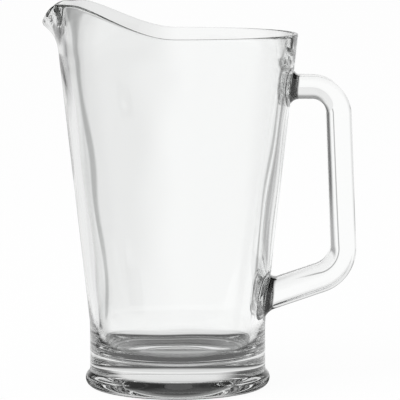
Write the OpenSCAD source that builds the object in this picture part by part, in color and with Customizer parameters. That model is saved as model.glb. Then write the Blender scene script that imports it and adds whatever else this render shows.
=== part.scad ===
// Clear glass beer pitcher: a tapered pressed vessel with a pouring spout, and a stuck-on handle.
// Millimetres, +Z up, spout towards -X, handle towards +X, origin on the vessel's axis at the table.

/* [Body] */
// Height of the level part of the rim above the table
rim_h = 207.6; // [195:0.1:222]
// Outside radius of the wall at the rim
rim_r = 70.6; // [66:0.1:76]
// Outside radius of the upright band above the foot
band_r = 51.7; // [48:0.1:57]
// Height at which the upright band ends and the taper starts
band_h = 37; // [32:1:42]
// Wall thickness at the rim
rim_wall = 4.7; // [3.8:0.1:6]
// Wall thickness where the taper starts
base_wall = 6.6; // [5:0.1:9]

/* [Base] */
// Height of the inside floor's lowest point above the table
floor_t = 15.1; // [12:0.1:20]
// Depth of the inside floor's dish
dish_h = 3.9; // [1:0.1:5]
// Radius of the inside corner between the floor and the wall
floor_corner = 10.5; // [6:0.5:12]
// Radius of the foot ring's round edge
bead_r = 4.6; // [3.6:0.1:6]
// How far the foot ring stands out of the band
bead_out = 2.6; // [1.6:0.1:3.2]
// Lean of the foot ring's upper flank
bead_lean = 37; // [28:1:50]
// Width of the flat ring that the pitcher stands on
bearing_w = 12.5; // [6:0.5:15]
// Height of the hollow's sloping side under the base
hollow_h = 6.5; // [2:0.1:8]
// Width of the hollow's sloping side
hollow_run = 12.4; // [5:0.2:16]
// Rise of the hollow's domed top
dome_h = 0.6; // [0.4:0.1:2]

/* [Spout] */
// Height of the spout's cheeks above the level rim
spout_rise = 17.7; // [10:0.1:24]
// Depth of the pouring notch below the cheeks
spout_dip = 8; // [4:0.1:12]
// How far the lip is drawn out of the wall
spout_reach = 7.6; // [4:0.1:11]
// Half angle over which the lip is drawn out
lip_half = 30; // [22:0.5:36]
// Half angle of the pouring notch
notch_half = 21; // [16:0.5:30]
// Angle from the spout at which the rim starts to rise
rise_start = 89.5; // [75:0.5:110]
// Angle from the spout at which the cheeks are highest
rise_end = 32.5; // [30:0.5:48]
// Height of the rim collar that carries the spout, below the level rim
collar_h = 6.5; // [5:0.5:12]
// Radius of the lip's rounded edges
lip_edge = 1; // [0.5:0.1:1.6]

/* [Handle] */
// Drop from the level rim to the middle of the upper arm
upper_drop = 31.4; // [24:0.1:45]
// Height of the middle of the lower arm where it meets the wall
lower_h = 53.8; // [50:0.1:70]
// Room for the fingers between the wall and the grip, at the upper arm
finger_room = 20.1; // [16:0.1:30]
// Width of the handle across the grip
handle_w = 24; // [18:0.5:30]
// Thickness of the upper arm
upper_t = 13.6; // [11.2:0.1:16]
// Thickness of the lower arm
lower_t = 15.8; // [11.2:0.1:18]
// Radius of the section's edges on the hand's side
inner_edge_r = 7; // [3:0.1:7.4]
// Radius of the section's edges on the far side
outer_edge_r = 2.2; // [1:0.1:3]
// Middle radius of the bend above the grip
upper_bend = 15.6; // [13:0.1:20]
// Middle radius of the bend below the grip
lower_bend = 19.6; // [15:0.1:26]
// Lean of the grip, outwards going down
grip_lean = 2.3; // [0:0.1:6]
// Slope of the lower arm, down towards the wall
lower_slope = 18.9; // [8:0.1:30]
// Radius of the flare where each arm is fused to the wall
flare_r = 4.8; // [2.5:0.1:6]

/* [Hidden] */
$fn = 96;

// Highest number of skins that one line of sight crosses in a ring-built solid
skins = 10;

glass_body = [0.86, 0.92, 0.91, 0.45];
glass_handle = [0.82, 0.90, 0.89, 0.55];

// The wall's two straight tapers
taper = (rim_r - band_r) / (rim_h - band_h);
taper_cos = 1 / sqrt(1 + taper * taper);
inner_rim_r = rim_r - rim_wall;
inner_band_r = band_r - base_wall;
inner_taper = (inner_rim_r - inner_band_r) / (rim_h - band_h);
inner_taper_deg = atan(inner_taper);

function outer_r(z) = band_r + (z - band_h) * taper;
function inner_r(z) = inner_band_r + (z - band_h) * inner_taper;

// Points along an arc, from one angle to another, after the first ones that are left out
function arc_points(centre, r, from, to, steps, left_out = 0) = [
    for (i = [left_out : steps])
        let (a = from + (to - from) * i / steps)
        centre + r * [cos(a), sin(a)]
];

// Radius of a ball that rises by a height over half its width
function ball_r(half_w, h) = (half_w * half_w + h * h) / (2 * h);

// Inside: the corner's round is tangent to the inner taper and to the ball that dishes the floor
corner_z = floor_t + dish_h + floor_corner;
corner = [inner_r(corner_z) - floor_corner / cos(inner_taper_deg), corner_z];
bowl_r = ball_r(corner[0], dish_h) + floor_corner;
bowl = [0, floor_t + bowl_r];
bowl_meet = atan2(corner[1] - bowl[1], corner[0]);

// Foot ring: a round edge below, a straight flank up to the band, a flat ring and the hollow beside it
bead = [band_r + bead_out - bead_r, bead_r];
bead_side = bead + bead_r * [cos(bead_lean), sin(bead_lean)];
bead_top = bead_side[1] + (bead_side[0] - band_r) / tan(bead_lean);
hollow_r = bead[0] - bearing_w;
dome_w = hollow_r - hollow_run;
dome_r = ball_r(dome_w, dome_h);
dome = [0, hollow_h + dome_h - dome_r];
arc_steps = 12;

// Rim collar: its root lies inside the wall, a seam's step in from both faces
collar_z = rim_h - collar_h;
collar_root_h = 2.5;
seam_step = 0.05;
collar_rows = 6;
lip_steps = 4;
fine_step = 1.875;
coarse_step = 3.75;
fine_half = 52.5;

function ease(t) = let (c = min(1, max(0, t))) c * c * (3 - 2 * c);
function bell(a, half) = abs(a) < half ? pow(cos(90 * a / half), 2) : 0;

// Height of the rim at an angle from the spout
function lip_top(a) =
    rim_h + spout_rise * ease((rise_start - abs(a)) / (rise_start - rise_end))
    - spout_dip * bell(a, notch_half);

// Half of the collar's thickness at a height
function collar_half(z) = (outer_r(z) - inner_r(z)) * taper_cos / 2 - seam_step;

// Middle surface of the collar: [radius, height] at an angle from the spout, u from the root to the lip
function collar_mid(a, u) =
    let (z = collar_z + u * (lip_top(a) - lip_edge - collar_z))
    [(outer_r(z) + inner_r(z)) / 2 + spout_reach * bell(a, lip_half) * u * u, z];

// Unit direction of the middle surface, upwards
function collar_dir(a, u) =
    let (rise = lip_top(a) - lip_edge - collar_z)
    let (run = rise * (taper + inner_taper) / 2 + 2 * spout_reach * bell(a, lip_half) * u)
    [run, rise] / norm([run, rise]);

// A point of the collar's outer face, side 1, or inner face, side -1, moved into the glass and up
function collar_point(a, u, side, inset = 0, up = 0) =
    let (m = collar_mid(a, u), d = collar_dir(a, u))
    m + side * (collar_half(m[1]) - inset) * [d[1], -d[0]] + up * d;

// The lip's edge on one side, from its face to its flat top
function lip_points(a, side) = [
    for (i = [0 : lip_steps])
        let (turn = 90 * (side > 0 ? i : lip_steps - i) / lip_steps)
        collar_point(a, 1, side, lip_edge * (1 - cos(turn)), lip_edge * sin(turn))
];

function root_point(side_r) = [side_r, collar_z - collar_root_h];

// The collar's section at an angle from the spout: up the outer face, over the lip, down the inner face
function collar_section(a) = concat(
    [root_point(outer_r(collar_z - collar_root_h) - seam_step)],
    [for (i = [0 : collar_rows - 1]) collar_point(a, i / collar_rows, 1)],
    lip_points(a, 1),
    lip_points(a, -1),
    [for (i = [collar_rows - 1 : -1 : 0]) collar_point(a, i / collar_rows, -1)],
    [root_point(inner_r(collar_z - collar_root_h) + seam_step)]
);

collar_angles = concat(
    [for (a = [-fine_half : fine_step : fine_half - fine_step / 2]) a],
    [for (a = [fine_half : coarse_step : 360 - fine_half - coarse_step / 2]) a > 180 ? a - 360 : a]
);

// Handle path in the XZ plane, as stations of [x, z, heading], from the upper joint to the lower one
upper_z = rim_h - upper_drop;
upper_wall = [outer_r(upper_z), upper_z];
lower_wall = [outer_r(lower_h), lower_h];
grip_top = [outer_r(upper_z) + finger_room + upper_t / 2, upper_z - upper_bend];
upper_centre = grip_top - upper_bend * [1, 0];
lower_way = [cos(lower_slope), sin(lower_slope)];
grip_way = [sin(grip_lean), -cos(grip_lean)];
grip_start = upper_centre + upper_bend * [cos(grip_lean), sin(grip_lean)];

// Where the grip's line would meet the lower arm's, and the tangent points of the bend between them
to_corner = lower_wall - grip_start;
crossing = grip_way[0] * lower_way[1] - grip_way[1] * lower_way[0];
corner_run = (to_corner[0] * lower_way[1] - to_corner[1] * lower_way[0]) / crossing;
lower_turn = 90 + grip_lean - lower_slope;
bend_trim = lower_bend * tan(lower_turn / 2);
grip_end = grip_start + (corner_run - bend_trim) * grip_way;
lower_centre = grip_end - lower_bend * [cos(grip_lean), sin(grip_lean)];

// Stations between the two flares: the arms' straight ends are left to the flares' own rings
bend_steps = 16;
path = concat(
    [for (i = [0 : bend_steps])
        let (a = 90 - (90 - grip_lean) * i / bend_steps)
        [upper_centre[0] + upper_bend * cos(a), upper_centre[1] + upper_bend * sin(a), a - 90]],
    [for (i = [0 : bend_steps])
        let (a = grip_lean - lower_turn * i / bend_steps)
        [lower_centre[0] + lower_bend * cos(a), lower_centre[1] + lower_bend * sin(a), a - 90]]
);

// Section of the handle, round towards the hand: [across, outwards] of each point, and its direction
edge_steps = 7;
flat_steps = 4;
function edge_points(q, t) = [
    for (s = [0 : edge_steps])
        let (a = 90 * q + 90 * s / edge_steps, r = q < 2 ? outer_edge_r : inner_edge_r)
        let (sx = (q == 0 || q == 3) ? 1 : -1, sy = q < 2 ? 1 : -1)
        [sx * (handle_w / 2 - r) + r * cos(a), sy * (t / 2 - r) + r * sin(a), cos(a), sin(a)]
];
function flat_points(side, t) = [
    for (i = [1 : flat_steps - 1])
        let (half = handle_w / 2 - (side > 0 ? outer_edge_r : inner_edge_r))
        [side * half * (1 - 2 * i / flat_steps), side * t / 2, 0, side]
];
function section(t) = concat(
    edge_points(0, t), flat_points(1, t), edge_points(1, t),
    edge_points(2, t), flat_points(-1, t), edge_points(3, t)
);

// A section point at a station of [x, z, heading], across towards -Y so that the skin faces outwards
function at_station(s, across, out) = [s[0] - out * sin(s[2]), -across, s[1] + out * cos(s[2])];
function plain_ring(s, t, grow) =
    [for (q = section(t)) at_station(s, q[0] + grow * q[2], q[1] + grow * q[3])];
function handle_t(i) = upper_t + (lower_t - upper_t) * ease(i / (len(path) - 1));

// How far along [dx, dz] a point lies from the wall's surface grown by a gap
function to_wall(p, way, gap) =
    let (r = outer_r(p[2]) + gap / taper_cos, k = taper * way[1])
    let (a = way[0] * way[0] - k * k, b = p[0] * way[0] - r * k, c = norm([p[0], p[1]]))
    (sqrt(b * b - a * (c * c - r * r)) - b) / a;

// Points moved along an arm until they all lie the same gap from the wall
function seated(points, way, gap) = [
    for (p = points)
        let (run = to_wall(p, way, gap))
        [p[0] + run * way[0], p[1], p[2] + run * way[1]]
];

// A flare's rings: the seat's rings from its middle outwards, then the flare out to the plain arm
seat_gap = 0.05;
seat_steps = 4;
flare_steps = 6;
function flare_rings(wall, way, heading, t) =
    let (station = [wall[0], wall[1], heading], centre = [wall[0], 0, wall[1]])
    concat(
        [for (i = [1 : seat_steps - 1])
            seated([for (p = plain_ring(station, t, flare_r)) centre + (p - centre) * i / seat_steps],
                way, seat_gap)],
        [for (i = [0 : flare_steps])
            let (turn = 90 * i / flare_steps)
            seated(plain_ring(station, t, flare_r * (1 - sin(turn))), way,
                seat_gap + flare_r * (1 - cos(turn)))]
    );
function seat_middle(wall, way) = seated([[wall[0], 0, wall[1]]], way, seat_gap)[0];

// The lower flare is built outwards from the wall, so its rings are taken in reverse
function reversed(list) = [for (i = [len(list) - 1 : -1 : 0]) list[i]];
handle_rings = concat(
    flare_rings(upper_wall, [1, 0], path[0][2], upper_t),
    [for (i = [0 : len(path) - 1]) plain_ring(path[i], handle_t(i), 0)],
    reversed(flare_rings(lower_wall, lower_way, path[len(path) - 1][2], lower_t))
);

// Closed skin over equal rings of points, either joined end to end or closed by a middle point at each end
function ring_faces(rings, n, joined) = concat(
    [for (i = [0 : rings - (joined ? 1 : 2)], j = [0 : n - 1])
        let (a = i * n + j, b = i * n + (j + 1) % n, c = (i + 1) % rings * n)
        each [[a, b, c + (j + 1) % n], [a, c + (j + 1) % n, c + j]]],
    joined ? [] : [
        for (j = [0 : n - 1])
            let (next = (j + 1) % n, last = (rings - 1) * n)
            each [[next, j, rings * n], [last + j, last + next, rings * n + 1]]
    ]
);

// Outline of the wall and the base: out along the underside, up the outside, down the inside
body_outline = concat(
    arc_points(dome, dome_r, 90, 90 - asin(dome_w / dome_r), arc_steps),
    [[hollow_r, 0]],
    arc_points(bead, bead_r, -90, 0, arc_steps),
    arc_points(bead, bead_r, 0, bead_lean, arc_steps, 1),
    [[band_r, bead_top], [band_r, band_h], [outer_r(collar_z), collar_z], [inner_r(collar_z), collar_z]],
    arc_points(corner, floor_corner, -inner_taper_deg, bowl_meet, arc_steps),
    arc_points(bowl, bowl_r, bowl_meet, -90, arc_steps, 1)
);

// Wall, base and foot ring as one revolve, up to the collar
module turned_body() {
    rotate_extrude()
        polygon(body_outline);
}

// Rim collar with the spout drawn out of it
module rim_collar() {
    sections = [for (a = collar_angles) collar_section(a)];
    points = [
        for (i = [0 : len(collar_angles) - 1], p = sections[i])
            [-p[0] * cos(collar_angles[i]), -p[0] * sin(collar_angles[i]), p[1]]
    ];
    polyhedron(points, ring_faces(len(collar_angles), len(sections[0]), true), skins);
}

module vessel() {
    color(glass_body) {
        turned_body();
        rim_collar();
    }
}

// Swept handle, its flared ends shaped to the wall that they are fused to
module handle() {
    points = concat(
        [for (ring = handle_rings, p = ring) p],
        [seat_middle(upper_wall, [1, 0]), seat_middle(lower_wall, lower_way)]
    );
    color(glass_handle)
        polyhedron(points, ring_faces(len(handle_rings), len(handle_rings[0]), false), skins);
}

vessel();
handle();
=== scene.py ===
import math

import bmesh
import bpy
import numpy as np
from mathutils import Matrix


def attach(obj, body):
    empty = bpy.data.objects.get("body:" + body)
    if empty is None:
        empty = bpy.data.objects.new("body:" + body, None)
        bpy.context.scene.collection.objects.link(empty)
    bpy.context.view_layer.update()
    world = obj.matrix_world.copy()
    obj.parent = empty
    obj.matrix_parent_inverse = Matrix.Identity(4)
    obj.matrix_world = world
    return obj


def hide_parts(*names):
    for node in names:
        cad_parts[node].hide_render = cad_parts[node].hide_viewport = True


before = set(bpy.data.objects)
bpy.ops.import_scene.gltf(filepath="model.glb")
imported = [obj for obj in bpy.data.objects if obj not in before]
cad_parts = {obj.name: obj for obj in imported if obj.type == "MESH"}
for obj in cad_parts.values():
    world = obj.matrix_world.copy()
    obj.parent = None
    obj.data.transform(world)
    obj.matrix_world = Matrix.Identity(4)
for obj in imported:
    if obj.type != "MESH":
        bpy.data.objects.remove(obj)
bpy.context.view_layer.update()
mm = 0.001
mergeGap = 0.000002  # metres, closes seams and poles


class Wire:  # a node socket that takes part in Python expressions
    def __init__(self, net, socket):
        self.net = net
        self.socket = socket

    def __add__(self, other):
        return self.net.maths("ADD", self, other)

    def __radd__(self, other):
        return self.net.maths("ADD", other, self)

    def __sub__(self, other):
        return self.net.maths("SUBTRACT", self, other)

    def __rsub__(self, other):
        return self.net.maths("SUBTRACT", other, self)

    def __mul__(self, other):
        return self.net.maths("MULTIPLY", self, other)

    def __rmul__(self, other):
        return self.net.maths("MULTIPLY", other, self)

    def __truediv__(self, other):
        return self.net.maths("DIVIDE", self, other)

    def __rtruediv__(self, other):
        return self.net.maths("DIVIDE", other, self)

    def __abs__(self):
        return self.net.maths("ABSOLUTE", self)


class Net:  # a node tree with one way to add any node
    def __init__(self, tree):
        self.tree = tree
        tree.nodes.clear()

    def find(self, sockets, key):  # by place, or by the name of one that is in use
        if isinstance(key, str):
            return next(s for s in sockets if s.name == key and s.enabled)
        return sockets[key]

    def add(self, kind, settings=None, sockets=None, out=0):  # out is one output, several names or None
        node = self.tree.nodes.new(kind)
        for name, value in (settings or {}).items():
            setattr(node, name, value)
        for key, value in (sockets or {}).items():
            target = self.find(node.inputs, key)
            if isinstance(value, Wire):
                self.tree.links.new(value.socket, target)
            else:
                target.default_value = value
        if out is None:
            return None
        if isinstance(out, (int, str)):
            return Wire(self, self.find(node.outputs, out))
        return [Wire(self, self.find(node.outputs, name)) for name in out]

    def maths(self, operation, *terms):
        return self.add("ShaderNodeMath", {"operation": operation}, dict(enumerate(terms)))

    def least(self, a, b):
        return self.maths("MINIMUM", a, b)

    def most(self, a, b):
        return self.maths("MAXIMUM", a, b)

    def sine(self, a):
        return self.maths("SINE", a)

    def cosine(self, a):
        return self.maths("COSINE", a)

    def hypot(self, a, b):
        return self.maths("SQRT", a * a + b * b)

    def soften(self, value, low, high):  # 0 at low, 1 at high, smooth between
        return self.add("ShaderNodeMapRange", {"interpolation_type": "SMOOTHSTEP"},
                        {"Value": value, "From Min": low, "From Max": high, "To Min": 0.0, "To Max": 1.0})


def splitPlace(net, kind):
    place = net.add("ShaderNodeTexCoord", out=kind)
    return net.add("ShaderNodeSeparateXYZ", None, {0: place}, ("X", "Y", "Z"))


def newTree(name, inputs):  # the inputs come back as wires under their names
    inputs = {"Geometry": "NodeSocketGeometry", **inputs}
    tree = bpy.data.node_groups.new(name, "GeometryNodeTree")
    for label, kind in inputs.items():
        tree.interface.new_socket(label, in_out="INPUT", socket_type=kind)
    tree.interface.new_socket("Geometry", in_out="OUTPUT", socket_type="NodeSocketGeometry")
    net = Net(tree)
    return net, dict(zip(inputs, net.add("NodeGroupInput", out=list(inputs))))


def setInputs(modifier, values):
    for item in modifier.node_group.interface.items_tree:
        if item.item_type == "SOCKET" and item.in_out == "INPUT" and item.name in values:
            modifier[item.identifier] = values[item.name]


def bakeNodes(piece, tree, values):  # the tree's result becomes the piece's plain mesh
    modifier = piece.modifiers.new("make", "NODES")
    modifier.node_group = tree
    setInputs(modifier, values)
    bpy.context.view_layer.update()
    made = bpy.data.meshes.new_from_object(piece.evaluated_get(bpy.context.evaluated_depsgraph_get()))
    piece.modifiers.clear()
    piece.data = made


def newPiece(name, points, faces=()):
    mesh = bpy.data.meshes.new(name)
    mesh.from_pydata([tuple(p) for p in points], (), faces)
    piece = bpy.data.objects.new(name, mesh)
    bpy.context.scene.collection.objects.link(piece)
    return piece


def faceOutwards(piece):
    work = bmesh.new()
    work.from_mesh(piece.data)
    bmesh.ops.remove_doubles(work, verts=work.verts, dist=mergeGap)
    bmesh.ops.recalc_face_normals(work, faces=work.faces)
    if work.calc_volume(signed=True) < 0:
        bmesh.ops.reverse_faces(work, faces=work.faces)
    loose = [e for e in work.edges if not e.is_manifold]
    print(piece.name, "volume", round(work.calc_volume() * 1e6, 1), "cm3, open edges", len(loose),
          "triangles", sum(len(f.verts) - 2 for f in work.faces))
    work.to_mesh(piece.data)
    work.free()


# glass, shared by both pieces
glassLook = {
    "ior": 1.52,
    "tint": (0.985, 0.99, 0.987, 1.0),
    "waveSize": 26.0, "waveDetail": 1.5, "waveMix": 0.4,  # size per metre
    "waveDepth": 0.00001,  # metres
    "smearSize": 90.0, "smearDetail": 3.0, "smearMix": 0.55,
    "smearFrom": 0.52, "smearTo": 0.78,
    "haze": 0.012,  # roughness where a smear is full
    "soakColor": (0.5, 0.52, 0.5, 1.0),
    "soak": 1.5,  # per metre
}


def clearGlass(name, look, weld=None):  # weld gives the glass's colour with painted shade near where glass was fused to glass
    material = bpy.data.materials.new(name)
    material.use_nodes = True
    net = Net(material.node_tree)
    place = net.add("ShaderNodeTexCoord", out="Object")

    def noise(kind):
        return net.add("ShaderNodeTexNoise", {"noise_dimensions": "3D"}, {
            "Vector": place, "Scale": look[kind + "Size"], "Detail": look[kind + "Detail"],
            "Roughness": look[kind + "Mix"]}, "Fac")

    relief = net.add("ShaderNodeBump", None, {
        "Strength": 1.0, "Distance": look["waveDepth"], "Height": noise("wave")}, "Normal")
    roughness = net.soften(noise("smear"), look["smearFrom"], look["smearTo"]) * look["haze"]
    colour = look["tint"] if weld is None else weld(net, look)
    shader = net.add("ShaderNodeBsdfPrincipled", None, {
        "Base Color": colour, "Roughness": roughness, "IOR": look["ior"],
        "Transmission Weight": 1.0, "Normal": relief}, "BSDF")
    soak = net.add("ShaderNodeVolumeAbsorption", None, {"Color": look["soakColor"], "Density": look["soak"]})
    net.add("ShaderNodeOutputMaterial", None, {"Surface": shader, "Volume": soak}, None)
    return material


# vessel, sizes in mm, angles in degrees, those of the spout from its middle
vessel = {
    "rimH": 207.6, "rimR": 70.6, "bandR": 51.7, "bandH": 37.0, "bandBlend": 60.0,
    "rimWall": 4.7, "baseWall": 6.6, "floorT": 15.1, "floorCorner": 10.5, "dishH": 3.9,
    "beadR": 4.6, "beadOut": 2.6, "beadLean": 37.0, "beadStart": -78.0, "beadSoft": 0.5,
    "bearingW": 12.5, "bearingH": 0.3, "bearingInset": 0.4, "bearingSoft": 0.5,
    "hollowH": 6.5, "hollowRun": 12.4, "hollowSoft": 2.0, "domeH": 0.6,
    "seamZ": 22.0, "seamOut": 0.08, "seamHalf": 0.5,  # the mould's seam round the band
    "spoutRise": 17.95, "spoutDip": 8.2, "spoutReach": 6.2,
    "riseStart": 89.5, "riseEnd": 32.5, "lipHalf": 30.0, "notchHalf": 21.0,
    "collarH": 12.6, "collarStep": 0.05,  # the collar is this much slimmer on each side
    "lipOuter": 0.6, "lipDrop": 1.8, "lipInner": 1.0,  # the lip's rounded edges
    "lipThin": 2.1, "thinH": 24.0,  # the wall thins on its inside, over this height
    "tipRound": 3.2, "tipSwell": 0.5,  # the bead at the spout's middle
    "ripple": 0.12, "rippleFrom": (24.0, 45.0), "rippleTo": (185.0, 205.0),
    # waves on the inside wall: number round the axis, twist per mm, start and share
    "waves": ((2, 0.035, 0.0, 1.0), (5, -0.05, 1.3, 0.6), (9, 0.09, 0.4, 0.35)),
    "columns": 288, "collarRows": 30, "lipRows": 9, "lipAcross": (0.04, 0.5, 0.96),
}
rowNames = ("radius", "height", "share", "lipTurn", "inside")
taper = (vessel["rimR"] - vessel["bandR"]) / (vessel["rimH"] - vessel["bandH"])
innerTaper = taper + (vessel["baseWall"] - vessel["rimWall"]) / (vessel["rimH"] - vessel["bandH"])
taperCos = 1 / math.hypot(1, taper)
collarZ = vessel["rimH"] - vessel["collarH"]


def outerR(z):  # of the wall, for numbers and wires
    return vessel["bandR"] + (z - vessel["bandH"]) * taper


def innerR(z):
    return vessel["bandR"] - vessel["baseWall"] + (z - vessel["bandH"]) * innerTaper


def arc(centre, radius, start, end, steps):  # degrees, both ends included
    turns = np.radians(np.linspace(start, end, steps + 1))
    return [(centre[0] + radius * math.cos(t), centre[1] + radius * math.sin(t)) for t in turns]


def line(start, end, steps):  # the points between, without the ends
    return [(start[0] + (end[0] - start[0]) * i / steps, start[1] + (end[1] - start[1]) * i / steps)
            for i in range(1, steps)]


def rounded(before, corner, after, reach):  # a corner between two straight stretches, softened over a reach
    before, corner, after = map(np.array, (before, corner, after))
    start = corner + (before - corner) * reach / np.hypot(*(before - corner))
    end = corner + (after - corner) * reach / np.hypot(*(after - corner))
    return [tuple((1 - t) ** 2 * start + 2 * t * (1 - t) * corner + t * t * end)
            for t in np.linspace(0, 1, 7)]


def outsideRows():  # from the middle of the hollow out to the foot and up to the collar
    s = vessel
    beadMid = s["bandR"] + s["beadOut"] - s["beadR"]
    hollowR = beadMid - s["bearingW"]
    domeR = hollowR - s["hollowRun"]
    dome = [(domeR * t, s["hollowH"] + s["domeH"] * (1 - t * t)) for t in np.linspace(0, 1, 15)]
    hollowEdge = (hollowR, s["bearingH"])
    ringEdge = (beadMid - s["bearingInset"], s["bearingH"])
    shoulder = rounded(dome[-3], dome[-1], hollowEdge, s["hollowSoft"])
    brink = rounded(dome[-1], hollowEdge, ringEdge, s["bearingSoft"])
    slope = line(shoulder[-1], brink[0], steps=6)
    bead = arc((beadMid, s["beadR"]), s["beadR"], s["beadStart"], s["beadLean"], steps=26)
    beadTop = bead[-1][1] + (bead[-1][0] - s["bandR"]) / math.tan(math.radians(s["beadLean"]))
    notch = rounded(bead[-1], (s["bandR"], beadTop), (s["bandR"], s["seamZ"]), s["beadSoft"])
    flank = line(bead[-1], notch[0], steps=6)
    lean = math.atan(taper)
    blendZ = s["bandH"] - s["bandBlend"] * math.tan(lean / 2)
    band = line(notch[-1], (s["bandR"], s["seamZ"] - s["seamHalf"]), steps=7)
    seam = [(s["bandR"] + s["seamOut"] * (1 - t * t) ** 2, s["seamZ"] + s["seamHalf"] * t)
            for t in np.linspace(-1, 1, 9)]
    upper = line((s["bandR"], s["seamZ"] + s["seamHalf"]), (s["bandR"], blendZ), steps=6)
    blend = arc((s["bandR"] + s["bandBlend"], blendZ), s["bandBlend"], 180, 180 - math.degrees(lean), steps=8)
    wall = line(blend[-1], (outerR(collarZ), collarZ), steps=44)
    return (dome[:-2] + shoulder + slope + brink + [ringEdge] + bead + flank + notch + band + seam + upper
            + blend + wall)


def insideRows():  # the wall, the rounded corner and a floor dished like a large ball
    s = vessel
    lean = math.atan(innerTaper)
    cornerZ = s["floorT"] + s["dishH"] + s["floorCorner"]
    cornerR = innerR(cornerZ) - s["floorCorner"] / math.cos(lean)
    drop = cornerZ - s["floorT"]
    ballR = (cornerR ** 2 + drop ** 2 - s["floorCorner"] ** 2) / (2 * (drop - s["floorCorner"]))
    ballZ = s["floorT"] + ballR
    end = math.degrees(math.atan2(cornerZ - ballZ, cornerR))
    corner = arc((cornerR, cornerZ), s["floorCorner"], -math.degrees(lean), end, steps=16)
    wall = line((innerR(collarZ), collarZ), corner[0], steps=52)
    return wall + corner + arc((0, ballZ), ballR, end, -90, steps=16)[1:]


def vesselRows():  # radius, height, share of the collar (-1 below it), turn over the lip, inside or not
    collarRows, lipRows = vessel["collarRows"], vessel["lipRows"]
    quarter = math.pi / 2
    rows = [(r, z, -1, 0, 0) for r, z in outsideRows()]
    rows += [(0, 0, i / collarRows, 0, 0) for i in range(collarRows)]
    rows += [(0, 0, 1, quarter * i / lipRows, 0) for i in range(lipRows + 1)]
    rows += [(0, 0, 1, quarter, inside) for inside in vessel["lipAcross"]]
    rows += [(0, 0, 1, quarter * (1 + i / lipRows), 1) for i in range(lipRows + 1)]
    rows += [(0, 0, i / collarRows, math.pi, 1) for i in reversed(range(collarRows))]
    rows += [(r, z, -1, 0, 1) for r, z in insideRows()]
    return rows


def spoutTree():  # turns the profile's rows round the axis and draws the spout out of the collar
    sizes = ("rimH", "spoutRise", "spoutDip", "spoutReach", "riseStart", "riseEnd", "lipHalf", "notchHalf",
             "collarStep", "lipOuter", "lipDrop", "lipInner", "lipThin", "thinH", "tipRound", "tipSwell",
             "ripple")
    net, given = newTree("vesselTurn", {
        "rows": "NodeSocketInt", "columns": "NodeSocketInt", "glass": "NodeSocketMaterial",
        **dict.fromkeys(sizes, "NodeSocketFloat")})
    rows, columns = given["rows"], given["columns"]
    grid = net.add("GeometryNodeMeshGrid", None, {"Vertices X": columns + 1, "Vertices Y": rows}, "Mesh")
    index = net.add("GeometryNodeInputIndex")
    column = net.maths("FLOOR", index / rows)
    row = index - column * rows
    turn = (column / columns - 0.5) * (2 * math.pi)  # from the spout
    angle = abs(turn) * (180 / math.pi)

    def rowValue(name):
        value = net.add("GeometryNodeInputNamedAttribute", {"data_type": "FLOAT"}, {"Name": name},
                        "Attribute")
        return net.add("GeometryNodeSampleIndex", {"data_type": "FLOAT", "domain": "POINT"},
                       {"Geometry": given["Geometry"], "Value": value, "Index": row}, "Value")

    def bell(half):  # 1 at the spout's middle, 0 from half onwards
        wave = net.cosine(net.least(angle / half, 1.0) * (math.pi / 2))
        return wave * wave

    radius, height, share, lipTurn, inside = map(rowValue, rowNames)
    climb = net.soften(angle, given["riseStart"], given["riseEnd"])
    lipTop = given["rimH"] + given["spoutRise"] * climb - given["spoutDip"] * bell(given["notchHalf"])
    tip = bell(given["lipHalf"])  # where this is 1 the lip is thick and round
    outerEdge, outerDrop, innerEdge = (given[name] + tip * (given["tipRound"] - given[name])
                                       for name in ("lipOuter", "lipDrop", "lipInner"))
    edge = outerEdge + inside * (innerEdge - outerEdge)
    drop = outerDrop + inside * (innerEdge - outerDrop)

    # the collar's middle line, thrown outwards at the spout
    rise = lipTop - drop - collarZ
    up = net.most(share, 0.0)
    thrown = given["spoutReach"] * tip
    midZ = collarZ + up * rise
    outer, inner = outerR(midZ), innerR(midZ)
    midR = (outer + inner) / 2 + thrown * up * up * up
    run = rise * ((taper + innerTaper) / 2) + 3 * thrown * up * up
    length = net.hypot(run, rise)
    wayR, wayZ = run / length, rise / length

    # its thickness and the turn over the lip
    half = (outer - inner) * (taperCos / 2) - given["collarStep"]
    half = half * (1 + given["tipSwell"] * tip * up * up)
    nearTop = net.most(0.0, 1 - (lipTop - midZ) / given["thinH"])
    thinned = given["lipThin"] * nearTop * nearTop * (1 - tip)
    outward, inward = half - outerEdge, half - thinned - innerEdge
    across = outward - inside * (outward + inward) + edge * net.cosine(lipTurn)
    over = drop * net.sine(lipTurn)
    lipR = midR + across * wayZ + over * wayR
    lipZ = midZ + over * wayZ - across * wayR

    isCollar = net.maths("GREATER_THAN", share, -0.5)
    r = radius + isCollar * (lipR - radius)
    z = height + isCollar * (lipZ - height)
    fade = net.soften(z, *vessel["rippleFrom"]) * (1 - net.soften(z, *vessel["rippleTo"]))
    waves = sum(net.sine(count * turn + twist * z + start) * depth
                for count, twist, start, depth in vessel["waves"])
    r = r + given["ripple"] * inside * fade * waves
    spot = net.add("ShaderNodeCombineXYZ", None, {
        "X": r * net.cosine(turn) * -mm, "Y": r * net.sine(turn) * -mm, "Z": z * mm})
    moved = net.add("GeometryNodeSetPosition", None, {"Geometry": grid, "Position": spot})
    closed = net.add("GeometryNodeMergeByDistance", None, {"Geometry": moved, "Distance": mergeGap})
    smooth = net.add("GeometryNodeSetShadeSmooth", None, {"Geometry": closed, "Shade Smooth": True})
    real = net.add("GeometryNodeRealizeInstances", None, {"Geometry": smooth})
    done = net.add("GeometryNodeSetMaterial", None, {"Geometry": real, "Material": given["glass"]})
    net.add("NodeGroupOutput", None, {0: done}, None)
    return net.tree, sizes


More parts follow.
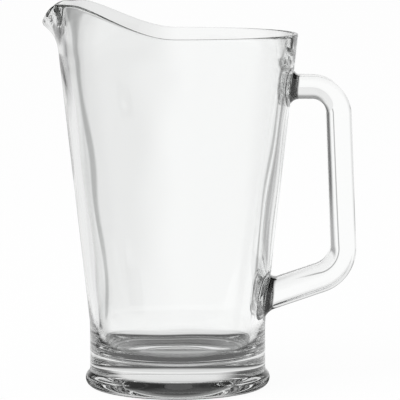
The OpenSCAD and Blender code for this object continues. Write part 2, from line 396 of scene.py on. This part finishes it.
def makeVessel(glass):
    rows = vesselRows()
    piece = newPiece("vesselBody", [(r * mm, 0, z * mm) for r, z, *_ in rows])
    for k, name in enumerate(rowNames):
        values = piece.data.attributes.new(name, "FLOAT", "POINT")
        values.data.foreach_set("value", [float(row[k]) for row in rows])
    tree, sizes = spoutTree()
    bakeNodes(piece, tree, {"rows": len(rows), "columns": vessel["columns"], "glass": glass,
                            **{name: vessel[name] for name in sizes}})
    faceOutwards(piece)
    return piece


body = makeVessel(clearGlass("vesselGlass", glassLook))
print("vessel made")

# handle, sizes in mm, angles in degrees
handle = {
    "upperDrop": 31.4, "lowerH": 53.8, "fingerRoom": 20.06, "width": 24.0, "upperT": 13.6, "lowerT": 15.8,
    "innerEdge": 7.0, "outerEdge": 2.2, "upperBend": 15.6, "lowerBend": 19.6,
    "gripLean": 2.3, "lowerSlope": 18.9, "flareR": 4.8,
    "sink": 0.4,  # how deep the fused ends reach into the wall
    "weldStart": 0.3, "weldFrom": 2.2, "weldTo": 4.6,  # where the painted shade at the welds comes and goes, from the wall
    # the near-black colour of the painted shade at the welds
    "weldShadeColor": (0.004, 0.004, 0.0038, 1.0),
    "bendSteps": 32, "gripSteps": 40, "outerSteps": 8, "innerSteps": 16, "capSteps": 8, "flareSteps": 16,
    "flatSteps": (10, 4, 6, 4),  # outside, side, inside, side
    "bendShare": 16 / 33,  # of the change in thickness, in each bend
}


def weldShade(net, look):  # painted shade: the glass's colour turns near black close to where the ends were fused to the wall
    x, y, z = (value / mm for value in splitPlace(net, "Object"))
    gap = (net.hypot(x, y) - outerR(z)) * taperCos
    dark = 1 - net.soften(gap, handle["weldFrom"], handle["weldTo"])
    dark = dark * net.soften(gap, 0.0, handle["weldStart"])
    return net.add("ShaderNodeMix", {"data_type": "RGBA"},
                   {"Factor": dark, "A": look["tint"], "B": handle["weldShadeColor"]}, "Result")


def handlePath():  # stations from top to bottom, and where and which way the two arms leave the wall
    s = handle
    lean, slope = math.radians(s["gripLean"]), math.radians(s["lowerSlope"])
    upperZ = vessel["rimH"] - s["upperDrop"]
    gripX = outerR(upperZ) + s["fingerRoom"] + s["upperT"] / 2
    gripSide = np.array([math.cos(lean), math.sin(lean)])
    gripWay = np.array([math.sin(lean), -math.cos(lean)])
    upperCentre = np.array([gripX - s["upperBend"], upperZ - s["upperBend"]])
    gripStart = upperCentre + s["upperBend"] * gripSide
    lowerWay = np.array([math.cos(slope), math.sin(slope)])
    upperWall = np.array([outerR(upperZ), upperZ])
    lowerWall = np.array([outerR(s["lowerH"]), s["lowerH"]])

    # the lower bend is trimmed off the corner where the grip meets the lower arm
    reach = lowerWall - gripStart
    cross = gripWay[0] * lowerWay[1] - gripWay[1] * lowerWay[0]
    cornerRun = (reach[0] * lowerWay[1] - reach[1] * lowerWay[0]) / cross
    lowerSweep = 90 + s["gripLean"] - s["lowerSlope"]
    trim = s["lowerBend"] * math.tan(math.radians(lowerSweep / 2))
    gripEnd = gripStart + (cornerRun - trim) * gripWay
    lowerCentre = gripEnd - s["lowerBend"] * gripSide

    def bend(centre, radius, start, sweep, share):  # x, z, heading, share of the change in thickness
        found = []
        for t in np.linspace(0, 1, s["bendSteps"] + 1):
            side = start - sweep * t
            way = np.array([math.cos(math.radians(side)), math.sin(math.radians(side))])
            found.append((*(centre + radius * way), side - 90, share + s["bendShare"] * t))
        return found

    upper = bend(upperCentre, s["upperBend"], 90, 90 - s["gripLean"], 0)
    grip = [(*(gripStart + (gripEnd - gripStart) * t), s["gripLean"] - 90,
             s["bendShare"] + (1 - 2 * s["bendShare"]) * t)
            for t in np.linspace(0, 1, s["gripSteps"] + 1)[1:-1]]
    lower = bend(lowerCentre, s["lowerBend"], s["gripLean"], lowerSweep, 1 - s["bendShare"])
    return upper + grip + lower, (upperWall, np.array([1.0, 0.0])), (lowerWall, lowerWay)


def sectionRing(thick, grow):  # across and outwards of the loop, edge by edge
    s = handle
    edges = []
    for q, (sx, sy) in enumerate(((1, 1), (-1, 1), (-1, -1), (1, -1))):
        side = "outer" if sy > 0 else "inner"
        edge = s[side + "Edge"]
        turns = np.radians(np.linspace(90 * q, 90 * q + 90, s[side + "Steps"] + 1))
        edges.append(np.stack([sx * (s["width"] / 2 - edge) + (edge + grow) * np.cos(turns),
                               sy * (thick / 2 - edge) + (edge + grow) * np.sin(turns)], 1))
    ring = []
    for q, count in enumerate(s["flatSteps"]):  # the flat after each edge
        steps = np.arange(1, count)[:, None] / count
        start, end = edges[q][-1], edges[(q + 1) % 4][0]
        ring += [edges[q], start + (end - start) * steps]
    return np.concatenate(ring)


def placeRing(station, ring):
    turn = math.radians(station[2])
    return np.stack([station[0] - ring[:, 1] * math.sin(turn), -ring[:, 0],
                     station[1] + ring[:, 1] * math.cos(turn)], 1)


def seatRing(points, way, gap):  # moves points along an arm to an even gap from the wall
    r = outerR(points[:, 2]) + gap / taperCos
    k = taper * way[1]
    a = way[0] ** 2 - k * k
    b = points[:, 0] * way[0] - r * k
    c = points[:, 0] ** 2 + points[:, 1] ** 2 - r * r
    run = (np.sqrt(b * b - a * c) - b) / a
    return points + run[:, None] * np.array([way[0], 0, way[1]])


def flareRings(seat, thick, heading):  # the end inside the wall, then the flare, and the end's middle
    s = handle
    wall, way = seat
    station = (*wall, heading)
    full = placeRing(station, sectionRing(thick, s["flareR"]))
    centre = np.array([wall[0], 0, wall[1]])
    rings = [seatRing(centre + (full - centre) * i / s["capSteps"], way, -s["sink"])
             for i in range(1, s["capSteps"])]
    for t in np.linspace(0, 1, s["flareSteps"] + 1):
        turn = math.pi / 2 * t
        ring = placeRing(station, sectionRing(thick, s["flareR"] * (1 - math.sin(turn))))
        rings.append(seatRing(ring, way, s["flareR"] * (1 - math.cos(turn)) - s["sink"] * (1 - t)))
    return rings, seatRing(centre[None], way, -s["sink"])[0]


def thickness(share):  # eases from the upper bend's to the lower bend's
    eased = share * share * (3 - 2 * share)
    return handle["upperT"] + (handle["lowerT"] - handle["upperT"]) * eased


def makeHandle(glass):
    stations, upperSeat, lowerSeat = handlePath()
    upper, upperMiddle = flareRings(upperSeat, handle["upperT"], stations[0][2])
    lower, lowerMiddle = flareRings(lowerSeat, handle["lowerT"], stations[-1][2])
    shaft = [placeRing(station, sectionRing(thickness(station[3]), 0)) for station in stations]
    rings = upper + shaft + lower[::-1]
    count = len(rings[0])
    points = np.concatenate(rings + [upperMiddle[None], lowerMiddle[None]]) * mm
    last = (len(rings) - 1) * count
    around = [(j, (j + 1) % count) for j in range(count)]
    faces = [(i + j, i + k, i + count + k, i + count + j) for i in range(0, last, count) for j, k in around]
    for j, k in around:  # the two ends, inside the wall
        faces += [(k, j, len(points) - 2), (last + j, last + k, len(points) - 1)]
    piece = newPiece("handleBar", points, faces)
    piece.data.materials.append(glass)
    faceOutwards(piece)
    piece.data.polygons.foreach_set("use_smooth", [True] * len(piece.data.polygons))
    return piece


bar = makeHandle(clearGlass("handleGlass", glassLook, weldShade))
print("handle made")

for piece, node, slot in ((body, "vessel", "vessel_glass"), (bar, "handle", "handle_glass")):
    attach(piece, "root")
    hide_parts(node)

# studio, in metres, azimuths and heights in degrees, azimuth 0 straight behind the pitcher
studio = {
    "floorHalf": 12.0, "floorColor": (0.86, 0.86, 0.86, 1.0),
    "floorGlow": 0.95,  # share of the floor's white that isn't shading
    "ambient": 0.8,  # the room's light on what isn't glass
    "leftFall": (0.14, -0.04, 0.3),  # painted dimming of the floor's glow: depth, then the slope to the left and the way back where it is full
    "slopeFrom": (1.5, 0.2),  # that slope runs from this far in front, over no less than the second
    "footShade": (0.11, 0.42, 0.03),  # painted shadow under the front and the back of the base, and in a ring round the foot
    "footSplit": 0.01,  # half of the way from the front's shade to the back's
    "footRing": (0.052, 0.057, 0.064, 0.076),  # where the ring comes and goes, from the axis
    "ringWider": (0.012, 25.0, 50.0),  # at the sides, between these azimuths
    "softShadow": (0.22, 0.08, 0.13),  # depth, and where it fades
    # painted dark strips on the floor's glow beside the backdrop, standing for flags: metres aside, azimuth
    # from there, half width, soft edge, depth, start and end
    "shadeStrips": ((0.0, -74.0, 10.0, 8.0, 0.8, 0.13, 0.2), (0.0, -66.0, 5.0, 8.0, 0.6, 0.3, 9.0),
              (0.0, 48.0, 8.0, 12.0, 0.6, 0.4, 9.0), (-0.05, -13.2, 1.0, 1.6, 0.42, 0.2, 9.0),
              (0.05, 18.0, 0.8, 1.6, 0.55, 0.2, 9.0)),
    "flagEnds": (0.7, 1.5),  # they come in from this share of the start and go by this share of the end
    "sides": (26.0, 42.0, 66.0, 84.0),  # azimuths where the far floor dims and clears again
    "sideLevel": 0.3, "sideFrom": (0.9, 1.5),
    "backdrop": (0.85, 0.3, 0.1),  # low, raised and high behind the pitcher
    "backdropSpan": (4.0, 20.0, 40.0),  # azimuth of its middle, and where its sides fade from there
    "raisedFrom": (12.0, 26.0), "highFrom": (30.0, 42.0),
    "room": (0.08, 0.55, 0.03),  # low beside the backdrop, low in the rest of the room, and higher up
    "restFrom": (66.0, 90.0), "upperFrom": (8.0, 13.0), "topFade": (68.0, 80.0),
    "keySpot": (-0.9, -0.9, 1.6), "keyPower": 20.0, "keySize": 1.4,
    "bounces": 96,  # light runs far along a glass wall
}


def lightPath(net):  # camera rays, and rays that left the glass
    isCamera, isGlossy, isThrough = net.add("ShaderNodeLightPath", out=(
        "Is Camera Ray", "Is Glossy Ray", "Is Transmission Ray"))
    return isCamera, net.most(isGlossy, isThrough)


def azimuth(net, x, y):
    return net.maths("ARCTAN2", x, y) * (180 / math.pi)


def floorLevel(net, x, y):  # the floor's glow as the glass sees it, with painted shade: dimmer to the left, dark strips, dimmer far sides and painted shadows round the foot
    s = studio
    turn = abs(azimuth(net, x, y))
    away = net.hypot(x, y)
    depth, slope, back = s["leftFall"]
    front, least = s["slopeFrom"]
    level = 1 - depth * net.soften(x / net.most(y + front, least), 0.0, slope) * net.soften(y, 0.0, back)
    early, late = s["flagEnds"]
    for aside, centre, half, soft, depth, start, end in s["shadeStrips"]:
        flag = 1 - net.soften(abs(azimuth(net, x - aside, y) - centre), half, half + soft)
        span = net.soften(away, start * early, start) * (1 - net.soften(away, end, end * late))
        level = level * (1 - depth * flag * span)
    dims, dim, clears, clear = s["sides"]
    side = net.soften(turn, dims, dim) * (1 - net.soften(turn, clears, clear))
    side = side * net.soften(away, *s["sideFrom"])
    level = level * (1 - (1 - s["sideLevel"]) * side)
    frontShade, backShade, ringShade = s["footShade"]
    comes, dark, goes, gone = s["footRing"]
    shade = frontShade + (backShade - frontShade) * net.soften(y, -s["footSplit"], s["footSplit"])
    shade = shade + (ringShade - shade) * net.soften(away, comes, dark)
    wider, wideFrom, wideTo = s["ringWider"]
    reach = away - wider * net.soften(turn, wideFrom, wideTo)
    level = level * (shade + (1 - shade) * net.soften(reach, goes, gone))
    depth, fadeFrom, fadeTo = s["softShadow"]
    return level * (1 - depth * (1 - net.soften(away, fadeFrom, fadeTo)))


def makeFloor():
    half = studio["floorHalf"]
    floor = newPiece("studioFloor", [(-half, -half, 0), (half, -half, 0), (half, half, 0), (-half, half, 0)],
                     [(0, 1, 2, 3)])
    material = bpy.data.materials.new("paleFloor")
    material.use_nodes = True
    net = Net(material.node_tree)
    x, y, _ = splitPlace(net, "Object")
    isCamera, isGlass = lightPath(net)
    glow = isCamera + (1 - isCamera) * floorLevel(net, x, y)
    grey = net.add("ShaderNodeCombineColor", None, {0: glow, 1: glow, 2: glow})
    matte = net.add("ShaderNodeBsdfDiffuse", None, {"Color": studio["floorColor"]}, "BSDF")
    light = net.add("ShaderNodeEmission", None, {"Color": grey, "Strength": 1.0}, "Emission")
    share = isCamera * studio["floorGlow"] + (1 - isCamera) * isGlass
    mixed = net.add("ShaderNodeMixShader", None, {0: share, 1: matte, 2: light})
    net.add("ShaderNodeOutputMaterial", None, {"Surface": mixed}, None)
    floor.data.materials.append(material)


def makeWorld():  # white for the camera, a lit backdrop in a dark room for the glass
    s = studio
    world = bpy.data.worlds.new("softStudio")
    bpy.context.scene.world = world
    world.use_nodes = True
    net = Net(world.node_tree)
    x, y, z = splitPlace(net, "Generated")
    isCamera, isGlass = lightPath(net)
    angle = azimuth(net, x, y)
    height = net.maths("ARCSINE", z) * (180 / math.pi)
    middle, full, gone = s["backdropSpan"]
    behind = 1 - net.soften(abs(angle - middle), full, gone)
    low, raised, high = s["backdrop"]
    back = low + (raised - low) * net.soften(height, *s["raisedFrom"])
    back = back + (high - raised) * net.soften(height, *s["highFrom"])
    beside, rest, upper = s["room"]
    room = beside + (rest - beside) * net.soften(abs(angle), *s["restFrom"])
    room = room + (upper - room) * net.soften(height, *s["upperFrom"])
    level = (room + behind * (back - room)) * (1 - net.soften(height, *s["topFade"]))
    strength = isCamera + (1 - isCamera) * (isGlass * level + (1 - isGlass) * s["ambient"])
    sky = net.add("ShaderNodeBackground", None, {"Color": (1, 1, 1, 1), "Strength": strength}, "Background")
    net.add("ShaderNodeOutputWorld", None, {"Surface": sky}, None)


def makeLamp(name, spot, size, power):  # points at the origin
    data = bpy.data.lights.new(name, "AREA")
    data.size = size
    data.energy = power
    lamp = bpy.data.objects.new(name, data)
    lamp.location = spot
    lamp.rotation_euler = (-lamp.location).to_track_quat("-Z", "Y").to_euler()
    lamp.visible_glossy = False  # its square would show in the glass
    lamp.visible_transmission = False
    bpy.context.scene.collection.objects.link(lamp)


# camera, fitted to the photo, in metres, degrees and pixels
photoView = {"distance": 1.56, "height": 0.2917, "aside": 0.01317, "pitch": 6.66,
             "focalPixels": 2675.6, "framePixels": 400, "sensor": 36.0}


def makeCamera():
    data = bpy.data.cameras.new("photoCamera")
    data.sensor_width = photoView["sensor"]
    data.lens = photoView["sensor"] * photoView["focalPixels"] / photoView["framePixels"]
    camera = bpy.data.objects.new("photoCamera", data)
    camera.location = (photoView["aside"], -photoView["distance"], photoView["height"])
    camera.rotation_euler = (math.radians(90 - photoView["pitch"]), 0, 0)
    bpy.context.scene.collection.objects.link(camera)
    bpy.context.scene.camera = camera


makeCamera()
makeFloor()
makeWorld()
makeLamp("keyLamp", studio["keySpot"], studio["keySize"], studio["keyPower"])
bpy.context.scene.view_settings.view_transform = "Standard"
for limit in ("max_bounces", "glossy_bounces", "transmission_bounces"):
    setattr(bpy.context.scene.cycles, limit, studio["bounces"])
print("studio made")
